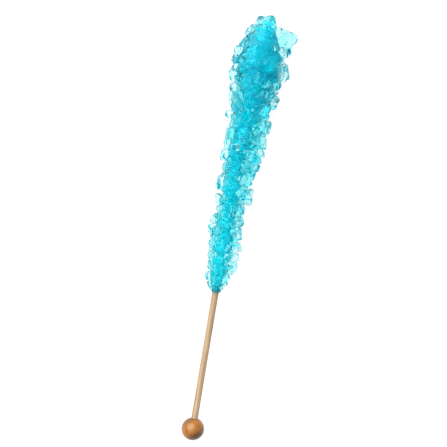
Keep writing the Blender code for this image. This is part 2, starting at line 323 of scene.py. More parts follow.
# The photograph's view, from straight above: the point along and across the stick at its middle, and
# its width and turn.
VIEW_ALONG = 79.6 * MM
VIEW_ACROSS = -1.3 * MM
VIEW_WIDTH = 170.3 * MM
VIEW_TURN = math.radians(9.45)
LENS = 100.0
SENSOR = 36.0

# The light: a key that fades out between two angles from its middle, and a sky that is brightest
# towards its direction and evenly dim on the far side. The floor glows a little.
KEY_DIRECTION = Vector((-0.46, 0.42, 0.78)).normalized()
KEY_CORE = math.radians(14)
KEY_EDGE = math.radians(48)
KEY_STRENGTH = 5.0
SKY_DIRECTION = Vector((-0.3, 0.25, 0.92)).normalized()
SKY_DIMMEST_AT = -0.3
SKY_STRENGTHS = (0.55, 1.15)
FLOOR_GREY = "#7C7C7C"
FLOOR_GLOW = 0.8
FLOOR_SIZE = 40.0
FLOOR_DROP = 0.05 * MM


def linear(code):
    """An sRGB hex colour such as #2060FF as the linear values that Blender's sockets take."""
    values = [int(code[place : place + 2], 16) / 255 for place in (1, 3, 5)]
    return [v / 12.92 if v <= 0.04045 else ((v + 0.055) / 1.055) ** 2.4 for v in values]


# Sizes and colours that a user would change


class RockCandySizes(bpy.types.PropertyGroup):
    ball_diameter: bpy.props.FloatProperty(
        name="Ball",
        description="Diameter of the turned ball",
        default=2 * BALL_RADIUS,
        unit="LENGTH",
    )
    stick_diameter: bpy.props.FloatProperty(
        name="Stick",
        description="Diameter of the birch dowel",
        default=2 * STICK_RADIUS,
        unit="LENGTH",
    )
    neck_crystal: bpy.props.FloatProperty(
        name="Neck crystals",
        description="Mean edge of the crystals where the candy begins",
        default=1.6 * MM,
        unit="LENGTH",
    )
    body_crystal: bpy.props.FloatProperty(
        name="Body crystals",
        description="Mean edge of the crystals above the neck",
        default=3.3 * MM,
        unit="LENGTH",
    )
    head_crystal: bpy.props.FloatProperty(
        name="Head crystals",
        description="Mean edge of the crystals at the head",
        default=5.4 * MM,
        unit="LENGTH",
    )
    fine_share: bpy.props.FloatProperty(
        name="Fine crystals",
        description="Edge of the small crystals between the large ones, as a share of theirs",
        default=0.6,
        subtype="FACTOR",
    )
    chamfer: bpy.props.FloatProperty(
        name="Chamfer",
        description="Width of the worn edge on a crystal, as a share of its size",
        default=0.06,
        subtype="FACTOR",
    )
    rounding: bpy.props.FloatProperty(
        name="Rounding",
        description="Crystal faces that meet at less than this many degrees look rounded",
        default=35.0,
    )
    heart_share: bpy.props.FloatProperty(
        name="Heart",
        description="Radius of the deeply dyed heart of the candy, as a share of the outline's",
        default=0.53,
        subtype="FACTOR",
    )
    heart_neck_share: bpy.props.FloatProperty(
        name="Heart at the neck",
        description="The same share where the candy begins",
        default=0.32,
        subtype="FACTOR",
    )


class RockCandyColours(bpy.types.PropertyGroup):
    sugar: bpy.props.FloatVectorProperty(
        name="Clear sugar",
        description="What is left of white light after some millimetres of dyed sugar",
        default=linear("#CEF9FB"),
        subtype="COLOR",
    )
    gleam: bpy.props.FloatVectorProperty(
        name="Gleam",
        description="Colour of the light that the crystal faces reflect",
        default=linear("#6CEAFF"),
        subtype="COLOR",
    )
    heart_deep: bpy.props.FloatVectorProperty(
        name="Heart, deep",
        description="Dyed sugar where it is packed",
        default=linear("#00B6C8"),
        subtype="COLOR",
    )
    heart_pale: bpy.props.FloatVectorProperty(
        name="Heart, pale",
        description="Dyed sugar where crystals trap air",
        default=linear("#00DFEF"),
        subtype="COLOR",
    )
    trapped_air: bpy.props.FloatVectorProperty(
        name="Trapped air",
        description="Specks where air is trapped between crystals",
        default=linear("#90F3FC"),
        subtype="COLOR",
    )
    collar: bpy.props.FloatVectorProperty(
        name="Collar",
        description="Dyed film on the wood where the candy begins",
        default=linear("#198B95"),
        subtype="COLOR",
    )
    birch_pale: bpy.props.FloatVectorProperty(
        name="Birch, pale",
        description="Early wood of the dowel",
        default=linear("#A38C6D"),
        subtype="COLOR",
    )
    birch_dark: bpy.props.FloatVectorProperty(
        name="Birch, dark",
        description="Late wood of the dowel",
        default=linear("#70533C"),
        subtype="COLOR",
    )
    soaked: bpy.props.FloatVectorProperty(
        name="Birch, soaked",
        description="Wood that the dyed syrup has soaked, just below the candy",
        default=linear("#476A5E"),
        subtype="COLOR",
    )
    beech_pale: bpy.props.FloatVectorProperty(
        name="Ball, pale",
        description="Stained beech",
        default=linear("#A56822"),
        subtype="COLOR",
    )
    beech_dark: bpy.props.FloatVectorProperty(
        name="Ball, dark",
        description="Stain that settled in the grain",
        default=linear("#5E3406"),
        subtype="COLOR",
    )
    # Also painted shade: it darkens the ball's rim, deepest on the side away from the key light.
    end_grain_and_shade: bpy.props.FloatVectorProperty(
        name="Ball, end grain",
        description="End grain at both ends of the ball's blank, which takes the stain deepest",
        default=linear("#2C1608"),
        subtype="COLOR",
    )
    varnish_gleam: bpy.props.FloatVectorProperty(
        name="Ball, gleam",
        description="Colour of the light that the varnished wood reflects",
        default=linear("#FFE7C3"),
        subtype="COLOR",
    )


# Helpers


def smooth_step(low, high, value):
    """0 below low, 1 above high, and an even ease between them."""
    share = min(1.0, max(0.0, (value - low) / (high - low)))
    return share * share * (3 - 2 * share)


def tip_reach(along):
    """How far the crystal tips reach from the candy's middle at this distance along the stick."""
    if along <= CANDY_OUTLINE[0][0]:
        return CANDY_OUTLINE[0][1]
    for (start, low), (end, high) in zip(CANDY_OUTLINE, CANDY_OUTLINE[1:]):
        if along <= end:
            return low + (high - low) * (along - start) / (end - start)
    return CANDY_OUTLINE[-1][1]


def crystal_edge(sizes, along):
    """Mean edge length of the crystals at this distance along the stick."""
    collar = (sizes.body_crystal - sizes.neck_crystal) * smooth_step(CANDY_START, NECK_TO, along)
    growth = (sizes.head_crystal - sizes.body_crystal) * smooth_step(CANDY_START, LEAN_TO, along)
    return sizes.neck_crystal + collar + growth


def core_radius(sizes, along):
    """Radius of the solid sugar under the crystals, down to a thin film at the bare wood."""
    wall = FILM + CORE_WALL * smooth_step(COLLAR_START, COLLAR_START + COLLAR_LENGTH, along)
    return max(tip_reach(along) - CORE_DEPTH * crystal_edge(sizes, along), STICK_RADIUS + wall)


def candy_middle(along):
    """Point in the middle of the candy at this distance along the stick."""
    return Vector((HEAD_LEAN * smooth_step(LEAN_FROM, LEAN_TO, along), along, 0.0))


def heart_reach(sizes, along):
    """How far the dyed heart reaches from its middle at this distance along the stick."""
    swell = smooth_step(HEART_SWELL_FROM, LEAN_TO, along)
    share = sizes.heart_neck_share + (sizes.heart_share - sizes.heart_neck_share) * swell
    return share * (1 - HEART_NARROWING * smooth_step(TIP_FROM, HEART_TIP, along)) * tip_reach(along)


def heart_lean(along):
    """How far the heart's middle lies to the right of the stick's axis at this distance along it."""
    return HEART_LEAN * smooth_step(HEART_LEAN_FROM, HEART_LEAN_TO, along)


def heart_radius(sizes, along):
    """Radius of the heart's tube, which covers the dowel as far as that goes."""
    least = HEART_END_RADIUS
    if along < HEART_COVERS_TO:
        least = heart_lean(along) + STICK_RADIUS + FILM / 2
    return max(HEART_TUBE_SHARE * heart_reach(sizes, along), least)


# The stick rises by this slope from its ball to where its head rests.
LYING_SLOPE = math.asin((REST_SHARE * tip_reach(REST_AT) - BALL_RADIUS) / REST_AT)
UP = Vector((0.0, math.sin(LYING_SLOPE), math.cos(LYING_SLOPE)))
LYING = Matrix.Translation(BALL_CENTRE) @ Matrix.Rotation(LYING_SLOPE, 4, "X")


def only(piece):
    """Makes a piece the only one selected, and the active one."""
    bpy.ops.object.select_all(action="DESELECT")
    piece.select_set(True)
    bpy.context.view_layer.objects.active = piece


def added(name):
    """The object that an operator has just added, named."""
    piece = bpy.context.object
    piece.name = name
    piece.data.name = name
    return piece


def pick_faces(piece, wanted):
    """In edit mode, selects only the faces that wanted() accepts."""
    bpy.ops.mesh.select_mode(type="FACE")
    bpy.ops.mesh.select_all(action="DESELECT")
    shape = bmesh.from_edit_mesh(piece.data)
    for face in shape.faces:
        face.select_set(wanted(face))
    bmesh.update_edit_mesh(piece.data)


def pick_edges(piece, wanted):
    """In edit mode, selects only the edges that wanted() accepts."""
    bpy.ops.mesh.select_mode(type="EDGE")
    bpy.ops.mesh.select_all(action="DESELECT")
    shape = bmesh.from_edit_mesh(piece.data)
    for edge in shape.edges:
        edge.select_set(wanted(edge))
    bmesh.update_edit_mesh(piece.data)


def apply_modifiers(piece):
    """Applies all modifiers of a piece."""
    only(piece)
    for modifier in list(piece.modifiers):
        bpy.ops.object.modifier_apply(modifier=modifier.name)


def apply_place(piece):
    """Moves a piece's location, turn and scale into its mesh."""
    only(piece)
    bpy.ops.object.transform_apply(location=True, rotation=True, scale=True)


def lay_down(piece):
    """Lays a piece where the frame's ball and candy lie, and trims it at the surface it lies on."""
    piece.data.transform(LYING)
    bpy.ops.object.select_all(action="DESELECT")
    bpy.ops.mesh.primitive_cube_add(size=2 * TOTAL_LENGTH, location=(0.0, 0.0, -TOTAL_LENGTH))
    surface = added("surface")
    trim = piece.modifiers.new("trim", "BOOLEAN")
    trim.operation = "DIFFERENCE"
    trim.object = surface
    trim.solver = "MANIFOLD"
    apply_modifiers(piece)
    bpy.data.objects.remove(surface)


def add(tree, kind, inputs=None, **settings):
    """Adds a node, sets it up, and sets or links its inputs."""
    node = tree.nodes.new(kind)
    for name, value in settings.items():
        setattr(node, name, value)
    for name, value in (inputs or {}).items():
        if isinstance(value, bpy.types.NodeSocket):
            tree.links.new(value, node.inputs[name])
        else:
            node.inputs[name].default_value = value
    return node


def new_material(name):
    """An empty node material and its output node."""
    made = bpy.data.materials.new(name)
    made.use_nodes = True
    made.node_tree.nodes.clear()
    return made, add(made.node_tree, "ShaderNodeOutputMaterial")


def finish(piece, surface, slot, *nodes):
    """Gives a finished piece its material and its place on the frame, and hides the frame's nodes."""
    piece.data.materials.clear()
    piece.data.materials.append(surface)
    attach(piece, "root")
    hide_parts(*nodes)


# Materials


def clear_sugar(colours):
    """Sucrose crystals grown in dyed syrup: glassy, with faintly wavy faces, bluer with depth."""
    made, output = new_material("clear_dyed_sugar")
    tree = made.node_tree
    place = add(tree, "ShaderNodeTexCoord").outputs["Object"]
    waves = add(
        tree,
        "ShaderNodeTexNoise",
        {"Vector": place, "Scale": 1 / FACE_WAVE, "Detail": 2.0, "Roughness": 0.5},
    )
    bump = add(
        tree,
        "ShaderNodeBump",
        {"Height": waves.outputs["Fac"], "Strength": 0.5, "Distance": 0.1 * MM},
    )
    shader = add(
        tree,
        "ShaderNodeBsdfPrincipled",
        {
            "Base Color": (1.0, 1.0, 1.0, 1.0),
            "Roughness": 0.15,
            "IOR": SUGAR_IOR,
            "Specular Tint": (*colours.gleam, 1.0),
            "Transmission Weight": 1.0,
            "Normal": bump.outputs["Normal"],
        },
    )
    depth = add(
        tree,
        "ShaderNodeVolumeAbsorption",
        {"Color": (*colours.sugar, 1.0), "Density": DYE_DENSITY},
    )
    tree.links.new(shader.outputs["BSDF"], output.inputs["Surface"])
    tree.links.new(depth.outputs["Volume"], output.inputs["Volume"])
    return made


def heart_sugar(colours):
    """Packed dyed sugar: its inner faces scatter light, so it is milky, with pale pockets and air."""
    made, output = new_material("packed_dyed_sugar")
    tree = made.node_tree
    place = add(tree, "ShaderNodeTexCoord").outputs["Object"]
    clouds = add(
        tree, "ShaderNodeTexNoise", {"Vector": place, "Scale": 1 / CLOUD_SIZE, "Detail": 3.0}
    )
    cells = add(tree, "ShaderNodeTexVoronoi", {"Vector": place, "Scale": 1 / PACKED_CRYSTAL})
    pockets = add(
        tree,
        "ShaderNodeMath",
        {0: clouds.outputs["Fac"], 1: cells.outputs["Distance"]},
        operation="MULTIPLY",
    )
    share = add(
        tree,
        "ShaderNodeMapRange",
        {"Value": pockets.outputs["Value"], "From Min": 0.12, "From Max": 0.5},
    )
    height = add(tree, "ShaderNodeSeparateXYZ", {"Vector": place})
    loose = add(
        tree,
        "ShaderNodeMapRange",
        {
            "Value": height.outputs["Y"],
            "From Min": BALL_CENTRE.y + CLOSER_FROM,
            "From Max": BALL_CENTRE.y + LEAN_TO,
            "To Min": 1.0,
            "To Max": CLOSER_PALENESS,
        },
    )
    paleness = add(
        tree,
        "ShaderNodeMath",
        {0: share.outputs["Result"], 1: loose.outputs["Result"]},
        operation="MULTIPLY",
    )
    tint = add(
        tree,
        "ShaderNodeMix",
        {
            0: paleness.outputs["Value"],
            6: (*colours.heart_deep, 1.0),
            7: (*colours.heart_pale, 1.0),
        },
        data_type="RGBA",
    )
    collar = add(
        tree,
        "ShaderNodeMapRange",
        {
            "Value": height.outputs["Y"],
            "From Min": BALL_CENTRE.y + COLLAR_START + COLLAR_FADE[0],
            "From Max": BALL_CENTRE.y + COLLAR_START + COLLAR_FADE[1],
        },
    )
    air = add(
        tree,
        "ShaderNodeTexNoise",
        {"Vector": place, "Scale": 1 / AIR_SPECK, "Detail": 2.0, "Roughness": 0.6},
    )
    specks = add(
        tree,
        "ShaderNodeMapRange",
        {"Value": air.outputs["Fac"], "From Min": 0.60, "From Max": 0.70, "To Max": 0.8},
    )
    bright = add(
        tree,
        "ShaderNodeMath",
        {0: specks.outputs["Result"], 1: loose.outputs["Result"]},
        operation="MULTIPLY",
    )
    speckled = add(
        tree,
        "ShaderNodeMix",
        {0: bright.outputs["Value"], 6: tint.outputs[2], 7: (*colours.trapped_air, 1.0)},
        data_type="RGBA",
    )
    stained = add(
        tree,
        "ShaderNodeMix",
        {0: collar.outputs["Result"], 6: (*colours.collar, 1.0), 7: speckled.outputs[2]},
        data_type="RGBA",
    )
    shader = add(
        tree,
        "ShaderNodeBsdfPrincipled",
        {
            "Base Color": stained.outputs[2],
            "Roughness": 0.5,
            "Specular IOR Level": 0.0,
            "Subsurface Weight": 1.0,
            "Subsurface Radius": SCATTER_SHARES,
            "Subsurface Scale": SCATTER_DISTANCE,
        },
    )
    tree.links.new(shader.outputs["BSDF"], output.inputs["Surface"])
    return made


def birch(colours):
    """Sanded bare birch dowel: dull, with straight streaks of fibre, soaked by syrup at the neck."""
    made, output = new_material("sanded_birch")
    tree = made.node_tree
    place = add(tree, "ShaderNodeTexCoord").outputs["Object"]
    along_grain = add(
        tree,
        "ShaderNodeMapping",
        {
            "Vector": place,
            "Location": (FIBRE_SHIFT, 0.0, 0.0),
            "Scale": (1.0, 1 / FIBRE_STRETCH, 1.0),
        },
    )
    fibres = add(
        tree,
        "ShaderNodeTexNoise",
        {
            "Vector": along_grain.outputs["Vector"],
            "Scale": 1 / FIBRE_WIDTH,
            "Detail": 5.0,
            "Roughness": 0.65,
        },
    )
    streaks = add(
        tree,
        "ShaderNodeMapRange",
        {"Value": fibres.outputs["Fac"], "From Min": 0.28, "From Max": 0.72},
    )
    tint = add(
        tree,
        "ShaderNodeMix",
        {
            0: streaks.outputs["Result"],
            6: (*colours.birch_dark, 1.0),
            7: (*colours.birch_pale, 1.0),
        },
        data_type="RGBA",
    )
    creep = add(
        tree,
        "ShaderNodeMath",
        {0: fibres.outputs["Fac"], 1: SYRUP_CREEP},
        operation="MULTIPLY",
    )
    height = add(tree, "ShaderNodeSeparateXYZ", {"Vector": place})
    reach = add(
        tree, "ShaderNodeMath", {0: height.outputs["Y"], 1: creep.outputs["Value"]}, operation="ADD"
    )
    soaked = add(
        tree,
        "ShaderNodeMapRange",
        {
            "Value": reach.outputs["Value"],
            "From Min": BALL_CENTRE.y + COLLAR_START + SOAK_FADE[0],
            "From Max": BALL_CENTRE.y + COLLAR_START + SOAK_FADE[1],
        },
        interpolation_type="SMOOTHSTEP",
    )
    stained = add(
        tree,
        "ShaderNodeMix",
        {0: soaked.outputs["Result"], 6: tint.outputs[2], 7: (*colours.soaked, 1.0)},
        data_type="RGBA",
    )
    bump = add(
        tree,
        "ShaderNodeBump",
        {"Height": fibres.outputs["Fac"], "Strength": 0.35, "Distance": 0.05 * MM},
    )
    shader = add(
        tree,
        "ShaderNodeBsdfPrincipled",
        {"Base Color": stained.outputs[2], "Roughness": 0.55, "Normal": bump.outputs["Normal"]},
    )
    tree.links.new(shader.outputs["BSDF"], output.inputs["Surface"])
    return made


def beech(colours):
    """Turned beech bead, stained and varnished: orange-brown figure with ray flecks, lathe lines and
    darker end grain, which also paints shade on the rim away from the key light, under a soft gloss.
    """
    made, output = new_material("varnished_beech")
    tree = made.node_tree
    place = add(tree, "ShaderNodeTexCoord").outputs["Object"]
    stretched = add(
        tree, "ShaderNodeMapping", {"Vector": place, "Scale": (1.0, 1 / FIGURE_STRETCH, 1.0)}
    )
    grain = add(
        tree,
        "ShaderNodeTexNoise",
        {
            "Vector": stretched.outputs["Vector"],
            "Scale": 1 / FIGURE_WIDTH,
            "Detail": 5.0,
            "Roughness": 0.6,
        },
    )
    tint = add(
        tree,
        "ShaderNodeMix",
        {
            0: grain.outputs["Fac"],
            6: (*colours.beech_dark, 1.0),
            7: (*colours.beech_pale, 1.0),
        },
        data_type="RGBA",
    )
    from_centre = add(
        tree, "ShaderNodeVectorMath", {0: place, 1: BALL_CENTRE}, operation="SUBTRACT"
    )
    along_grain = add(
        tree,
        "ShaderNodeVectorMath",
        {0: from_centre.outputs["Vector"], 1: BEAD_GRAIN_AND_SHADE_AXIS},
        operation="DOT_PRODUCT",
    )
    along_rays = add(
        tree,
        "ShaderNodeMapping",
        {"Vector": place, "Scale": (1.0, FLECK_WIDTH / FLECK_LENGTH, 1.0)},
    )
    rays = add(
        tree,
        "ShaderNodeTexNoise",
        {"Vector": along_rays.outputs["Vector"], "Scale": 1 / FLECK_CELL, "Detail": 1.0},
    )
    flecks = add(
        tree,
        "ShaderNodeMapRange",
        {"Value": rays.outputs["Fac"], "From Min": 0.57, "From Max": 0.70, "To Max": 0.4},
    )
    stained = add(
        tree,
        "ShaderNodeMix",
        {0: flecks.outputs["Result"], 6: tint.outputs[2], 7: (*colours.beech_dark, 1.0)},
        data_type="RGBA",
    ).outputs[2]
    # Darkens both ends of the grain: partly real end-grain stain, partly painted shade on the rim.
    for start, end, depth in END_GRAIN_STAIN_AND_SHADE:
        end_grain_and_shade = add(
            tree,
            "ShaderNodeMapRange",
            {
                "Value": along_grain.outputs["Value"],
                "From Min": start * BALL_RADIUS,
                "From Max": end * BALL_RADIUS,
                "To Max": depth,
            },
            interpolation_type="SMOOTHSTEP",
        )
        stained = add(
            tree,
            "ShaderNodeMix",
            {0: end_grain_and_shade.outputs["Result"], 6: stained, 7: (*colours.end_grain_and_shade, 1.0)},
            data_type="RGBA",
        ).outputs[2]
    turning = add(
        tree,
        "ShaderNodeTexWave",
        {"Vector": from_centre.outputs["Vector"], "Scale": TURNING_SCALE, "Distortion": 0.6},
        bands_direction="Y",
    )
    relief = add(
        tree,
        "ShaderNodeMath",
        {0: grain.outputs["Fac"], 1: turning.outputs["Fac"]},
        operation="ADD",
    )
    bump = add(
        tree,
        "ShaderNodeBump",
        {"Height": relief.outputs["Value"], "Strength": 0.2, "Distance": 0.05 * MM},
    )
    shader = add(
        tree,
        "ShaderNodeBsdfPrincipled",
        {
            "Base Color": stained,
            "Roughness": 0.42,
            "Specular IOR Level": 0.4,
            "Specular Tint": (*colours.varnish_gleam, 1.0),
            "Coat Weight": 0.45,
            "Coat Roughness": 0.12,
            "Normal": bump.outputs["Normal"],
        },
    )
    tree.links.new(shader.outputs["BSDF"], output.inputs["Surface"])
    return made


# The candy


def model_habit(sizes, name):
    """One crystal shape, about a unit across: an oblique block with corners or edges grown away."""
    proportions, slant, cuts, terraces = HABITS[name]
    bpy.ops.object.select_all(action="DESELECT")
    bpy.ops.mesh.primitive_cube_add(size=1.0)
    habit = added(f"habit_{name}")
    bpy.ops.object.mode_set(mode="EDIT")
    bpy.ops.transform.resize(value=proportions, center_override=(0.0, 0.0, 0.0))
    for end in (-1, 1):
        pick_faces(habit, lambda face: face.normal.z * end > 0.5)
        bpy.ops.transform.translate(value=(end * slant * proportions[2] / 2, 0.0, 0.0))
    for direction, distance in cuts:
        normal = Vector(direction).normalized()
        bpy.ops.mesh.select_all(action="SELECT")
        bpy.ops.mesh.bisect(
            plane_co=normal * distance, plane_no=normal, use_fill=True, clear_outer=True
        )
    bpy.ops.mesh.select_all(action="SELECT")
    bpy.ops.mesh.bevel(offset=sizes.chamfer, segments=1, affect="EDGES")
    for direction in terraces:
        facing = Vector(direction)
        sideways = Vector((facing.y, 0.0, facing.x)) * TERRACE_SHIFT
        pick_faces(habit, lambda face: face.normal.dot(facing) > 0.95)
        bpy.ops.mesh.inset(thickness=TERRACE_INSET)
        bpy.ops.transform.translate(value=facing * TERRACE_RISE + sideways)
    bpy.ops.mesh.select_all(action="SELECT")
    bpy.ops.mesh.normals_make_consistent(inside=False)
    bpy.ops.object.mode_set(mode="OBJECT")
    return habit


def random_turn(draw):
    """An even random rotation."""
    axis = Vector((draw.gauss(0, 1), draw.gauss(0, 1), draw.gauss(0, 1))).normalized()
    return Quaternion(axis, draw.uniform(0, 2 * math.pi))


def outer_reach(along):
    """How far the scattered crystals reach: as far as the outline, and less near the tip."""
    return tip_reach(along) * (1 - TIP_SHYNESS * smooth_step(TIP_FROM, CANDY_TIP, along))


def spread_crystals(draw, sizes, habits, share, spacing, reaches, reach_at, end):
    """Yields each crystal's mesh, from the neck to the end given.

    They follow a golden-angle spiral round the candy, closer where they are smaller, with some
    jitter. The outermost corner of each one reaches between the two given shares of reach_at.
    """
    along = COLLAR_START
    angle = 0.0
    while along < end:
        edge = share * crystal_edge(sizes, along)
        radius = core_radius(sizes, along)
        along += min(spacing * edge * edge / (2 * math.pi * radius), edge / 2)
        angle += GOLDEN_ANGLE
        around = angle + draw.uniform(-PLACE_JITTER, PLACE_JITTER) * edge / radius
        place = along + draw.uniform(-PLACE_JITTER, PLACE_JITTER) * edge
        size = edge * min(math.exp(draw.gauss(0.0, SIZE_SPREAD)), LARGEST)
        slope = (tip_reach(place + MM) - tip_reach(place - MM)) / (2 * MM)
        sideways = Vector((math.cos(around), 0.0, math.sin(around)))
        outward = (sideways - Vector((0.0, slope, 0.0))).normalized()
        mesh = habits[draw.choice(sorted(habits))].data.copy()
        mesh.transform(Matrix.LocRotScale(None, random_turn(draw), Vector((size, size, size))))
        corner = max(vertex.co.dot(outward) for vertex in mesh.vertices)
        shortfall = tip_reach(place) - draw.uniform(*reaches) * reach_at(place)
        on_outline = candy_middle(place) + tip_reach(place) * sideways
        mesh.transform(Matrix.Translation(on_outline - (corner + shortfall) * outward))
        yield mesh


def in_the_way(mesh):
    """Whether a scattered crystal would hide one that stands out at the candy's sides."""
    middle = sum((vertex.co for vertex in mesh.vertices), Vector()) / len(mesh.vertices)
    for _, across, along, up, width, length, _ in STANDOUT_CRYSTALS:
        beside = abs(middle.x - across) < ROOM_SHARE * width
        level = abs(middle.z - up) < ROOM_SHARE * width
        if beside and level and abs(middle.y - along) < ROOM_SHARE * length:
            return True
    return False


def stretched_crystal(habit, spoke, extents, turn, place):
    """A copy of a habit, tipped about a level line, stretched to its extents, turned and placed."""
    mesh = habit.data.copy()
    tilt_axis = (math.cos(spoke), math.sin(spoke), 0.0)
    mesh.transform(Matrix.Rotation(math.radians(STANDOUT_TILT), 4, tilt_axis))
    size = extents.copy()
    for axis in range(3):
        places = [vertex.co[axis] for vertex in mesh.vertices]
        size[axis] /= max(places) - min(places)
    facing = Quaternion((0.0, 0.0, 1.0), math.radians(turn))
    mesh.transform(Matrix.LocRotScale(place, facing, size))
    return mesh


def standout_crystals(habits):
    """Yields the crystals that stand out at the sides and the tip, and the smaller ones in each."""
    kinds = sorted(habits)
    for number, (kind, across, along, up, width, length, turn) in enumerate(STANDOUT_CRYSTALS):
        middle = Vector((across, along, up))
        extents = Vector((width, length, (width + length) / 2))
        spoke = GOLDEN_ANGLE * number
        yield stretched_crystal(habits[kind], spoke, MAIN_SHARE * extents, turn, middle)
        for step in range(SATELLITES):
            spoke += GOLDEN_ANGLE
            offset = Vector(
                (width * math.cos(spoke), length * math.sin(spoke), width * math.sin(2 * spoke))
            )
            habit = habits[kinds[(number + step) % len(kinds)]]
            place = middle + SATELLITE_OFFSET * offset
            yield stretched_crystal(habit, spoke, SATELLITE_SHARE * extents, turn, place)


def keep_inside(mesh):
    """Moves a crystal back if it reaches past the candy's ends, its top or the surface below."""
    past_tip = max(vertex.co.y for vertex in mesh.vertices) - CANDY_TIP + TIP_MARGIN
    short_of_start = COLLAR_START + BARE_FILM - min(vertex.co.y for vertex in mesh.vertices)
    mesh.transform(Matrix.Translation((0.0, max(short_of_start, 0.0) - max(past_tip, 0.0), 0.0)))
    heights = [vertex.co.dot(UP) for vertex in mesh.vertices]
    too_low = -BALL_RADIUS - min(heights)
    too_high = max(heights) - CANDY_TOP
    mesh.transform(Matrix.Translation((max(too_low, 0.0) - max(too_high, 0.0)) * UP))


def candy_tube(name, radius_at, start, end):
    """A closed tube along the candy's middle, drawn out ring by ring."""
    steps = TUBE_STATIONS - 1
    stations = [start + (end - start) * number / steps for number in range(TUBE_STATIONS)]
    bpy.ops.object.select_all(action="DESELECT")
    bpy.ops.mesh.primitive_circle_add(
        vertices=TUBE_SIDES,
        radius=radius_at(start),
        fill_type="NGON",
        location=candy_middle(start),
        rotation=(-math.pi / 2, 0.0, 0.0),
    )
    tube = added(name)
    apply_place(tube)
    bpy.ops.object.mode_set(mode="EDIT")
    bpy.ops.mesh.select_all(action="SELECT")
    for before, after in zip(stations, stations[1:]):
        step = candy_middle(after) - candy_middle(before)
        share = radius_at(after) / radius_at(before)
        bpy.ops.mesh.extrude_region_move(TRANSFORM_OT_translate={"value": step})
        bpy.ops.transform.resize(value=(share, 1.0, share), center_override=candy_middle(after))
    bpy.ops.mesh.select_all(action="SELECT")
    bpy.ops.mesh.normals_make_consistent(inside=False)
    bpy.ops.object.mode_set(mode="OBJECT")
    return tube


def fuse(base, meshes):
    """Joins closed meshes and the base into one solid, and keeps its outer skin."""
    name = base.name
    growth = bpy.data.collections.new("growth")
    bpy.context.scene.collection.children.link(growth)
    for number, mesh in enumerate(meshes):
        growth.objects.link(bpy.data.objects.new(f"crystal_{number:04d}", mesh))
    union = base.modifiers.new("fuse", "BOOLEAN")
    union.operation = "UNION"
    union.operand_type = "COLLECTION"
    union.collection = growth
    union.solver = "MANIFOLD"
    apply_modifiers(base)
    for crystal in list(growth.objects):
        bpy.data.objects.remove(crystal)
    bpy.data.collections.remove(growth)
    bpy.ops.mesh.separate(type="LOOSE")
    shells = sorted(bpy.context.selected_objects, key=lambda shell: len(shell.data.vertices))
    for scrap in shells[:-1]:
        bpy.data.objects.remove(scrap)
    shells[-1].name = name
    return shells[-1]


class ROCKCANDY_OT_crystals(bpy.types.Operator):
    """Grows the clear crystals, fused into one clear solid round the candy's heart"""

    bl_idname = "rock_candy.crystals"
    bl_label = "Clear crystals"

    def execute(self, context):
        sizes = context.scene.rock_candy_sizes
        habits = {name: model_habit(sizes, name) for name in HABITS}
        body = candy_tube(
            "candy_crystals",
            lambda along: core_radius(sizes, along),
            COLLAR_START,
            CANDY_TIP - sizes.head_crystal / 2,
        )
        grown = list(standout_crystals(habits))
        for seed, share, spacing in (
            (SEED, 1.0, CRYSTAL_SPACING),
            (FINE_SEED, sizes.fine_share, FINE_SPACING),
        ):
            scattered = spread_crystals(
                random.Random(seed), sizes, habits, share, spacing, REACHES, outer_reach, SCATTER_TO
            )
            grown += [mesh for mesh in scattered if not in_the_way(mesh)]
        for mesh in grown:
            keep_inside(mesh)
        candy = fuse(body, grown)
        only(candy)
        bpy.ops.object.shade_smooth_by_angle(angle=math.radians(sizes.rounding))
        for habit in habits.values():
            bpy.data.objects.remove(habit)
        lay_down(candy)
        finish(candy, clear_sugar(context.scene.rock_candy_colours), "blue_rock_sugar", "candy")
        return {"FINISHED"}


class ROCKCANDY_OT_heart(bpy.types.Operator):
    """Models the deeply dyed heart of packed sugar inside the clear crystals"""

    bl_idname = "rock_candy.heart"
    bl_label = "Dyed heart"

    def execute(self, context):
        sizes = context.scene.rock_candy_sizes
        habits = {name: model_habit(sizes, name) for name in HABITS}
        tube = candy_tube(
            "candy_heart", lambda along: heart_radius(sizes, along), COLLAR_START, HEART_TIP
        )
        grown = list(
            spread_crystals(
                random.Random(HEART_SEED),
                sizes,
                habits,
                HEART_CRYSTAL_SHARE,
                HEART_SPACING,
                HEART_REACHES,
                lambda along: heart_reach(sizes, along),
                HEART_TIP,
            )
        )
        for mesh in grown:
            keep_inside(mesh)
        heart = fuse(tube, grown)
        for vertex in heart.data.vertices:
            vertex.co.x += heart_lean(vertex.co.y) - candy_middle(vertex.co.y).x
        for habit in habits.values():
            bpy.data.objects.remove(habit)
        lay_down(heart)
        finish(heart, heart_sugar(context.scene.rock_candy_colours), "blue_rock_sugar", "candy")
        return {"FINISHED"}


# The swizzle stick


class ROCKCANDY_OT_dowel(bpy.types.Operator):
    """Models the birch dowel, from its seat in the ball to its tip inside the candy"""

    bl_idname = "rock_candy.dowel"
    bl_label = "Birch dowel"

    def execute(self, context):
        sizes = context.scene.rock_candy_sizes
        foot = STICK_LOW.y - BALL_CENTRE.y
        bpy.ops.object.select_all(action="DESELECT")
        bpy.ops.mesh.primitive_cylinder_add(
            vertices=STICK_SIDES,
            radius=sizes.stick_diameter / 2,
            depth=STICK_TIP - foot,
            location=(0.0, (STICK_TIP + foot) / 2, 0.0),
            rotation=(-math.pi / 2, 0.0, 0.0),
        )
        dowel = added("birch_dowel")
        apply_place(dowel)
        bpy.ops.object.mode_set(mode="EDIT")
        pick_edges(dowel, lambda edge: abs(edge.verts[0].co.y - edge.verts[1].co.y) > MM)
        bpy.ops.mesh.subdivide(number_cuts=STICK_CUTS)
        pick_faces(dowel, lambda face: abs(face.normal.y) > 0.9)
        bpy.ops.mesh.bevel(offset=STICK_END_ROUNDING, segments=2, affect="EDGES")
        bpy.ops.object.mode_set(mode="OBJECT")
        dowel.data.shade_smooth()
        lay_down(dowel)
        finish(dowel, birch(context.scene.rock_candy_colours), "birch_dowel", "stick")
        return {"FINISHED"}


